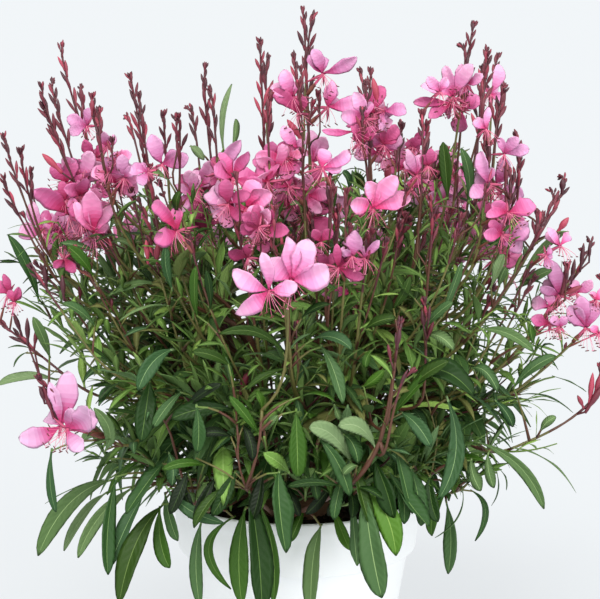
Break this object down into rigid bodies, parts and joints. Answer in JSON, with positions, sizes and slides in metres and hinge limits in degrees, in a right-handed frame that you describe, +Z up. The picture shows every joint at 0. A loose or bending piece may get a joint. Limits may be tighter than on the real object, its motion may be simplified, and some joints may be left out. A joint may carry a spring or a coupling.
{
  "type": "potted gaura",
  "caption": "Bushy flowering gaura in a plain white nursery pot: arching red stems, narrow green leaves that droop over the rim, and upright pink flower spikes.",
  "frame": {"origin": "centre of the pot's flat underside, on the surface that it stands on", "axes": "+Z up along the pot's axis; -Y towards the plant's front; +X to the right of someone who looks at that front"},
  "size_m": [0.3277, 0.311, 0.3752],
  "materials": {
    "pot": "satin",
    "compost": "matte",
    "root_crown": "matte",
    "stems": "satin",
    "leaf_masses": "matte",
    "flower_spikes": "matte"
  },
  "bodies": {
    "root": {"compost": "compost", "crown_leaves": "leaf_masses", "flower_spike_1": "flower_spikes", "flower_spike_10": "flower_spikes", "flower_spike_11": "flower_spikes", "flower_spike_12": "flower_spikes", "flower_spike_13": "flower_spikes", "flower_spike_14": "flower_spikes", "flower_spike_15": "flower_spikes", "flower_spike_16": "flower_spikes", "flower_spike_17": "flower_spikes", "flower_spike_18": "flower_spikes", "flower_spike_19": "flower_spikes", "flower_spike_2": "flower_spikes", "flower_spike_20": "flower_spikes", "flower_spike_21": "flower_spikes", "flower_spike_22": "flower_spikes", "flower_spike_23": "flower_spikes", "flower_spike_24": "flower_spikes", "flower_spike_3": "flower_spikes", "flower_spike_4": "flower_spikes", "flower_spike_5": "flower_spikes", "flower_spike_6": "flower_spikes", "flower_spike_7": "flower_spikes", "flower_spike_8": "flower_spikes", "flower_spike_9": "flower_spikes", "pot": "pot", "root_crown": "root_crown", "side_leaves_1": "leaf_masses", "side_leaves_2": "leaf_masses", "side_leaves_3": "leaf_masses", "side_leaves_4": "leaf_masses", "side_leaves_5": "leaf_masses", "side_leaves_6": "leaf_masses", "side_leaves_7": "leaf_masses", "skirt_leaves_1": "leaf_masses", "skirt_leaves_2": "leaf_masses", "skirt_leaves_3": "leaf_masses", "skirt_leaves_4": "leaf_masses", "skirt_leaves_5": "leaf_masses", "skirt_leaves_6": "leaf_masses", "skirt_leaves_7": "leaf_masses", "stem_1": "stems", "stem_10": "stems", "stem_11": "stems", "stem_12": "stems", "stem_13": "stems", "stem_2": "stems", "stem_3": "stems", "stem_4": "stems", "stem_5": "stems", "stem_6": "stems", "stem_7": "stems", "stem_8": "stems", "stem_9": "stems", "top_leaves_1": "leaf_masses", "top_leaves_2": "leaf_masses", "top_leaves_3": "leaf_masses", "top_leaves_4": "leaf_masses", "top_leaves_5": "leaf_masses"}
  },
  "joints": []
}
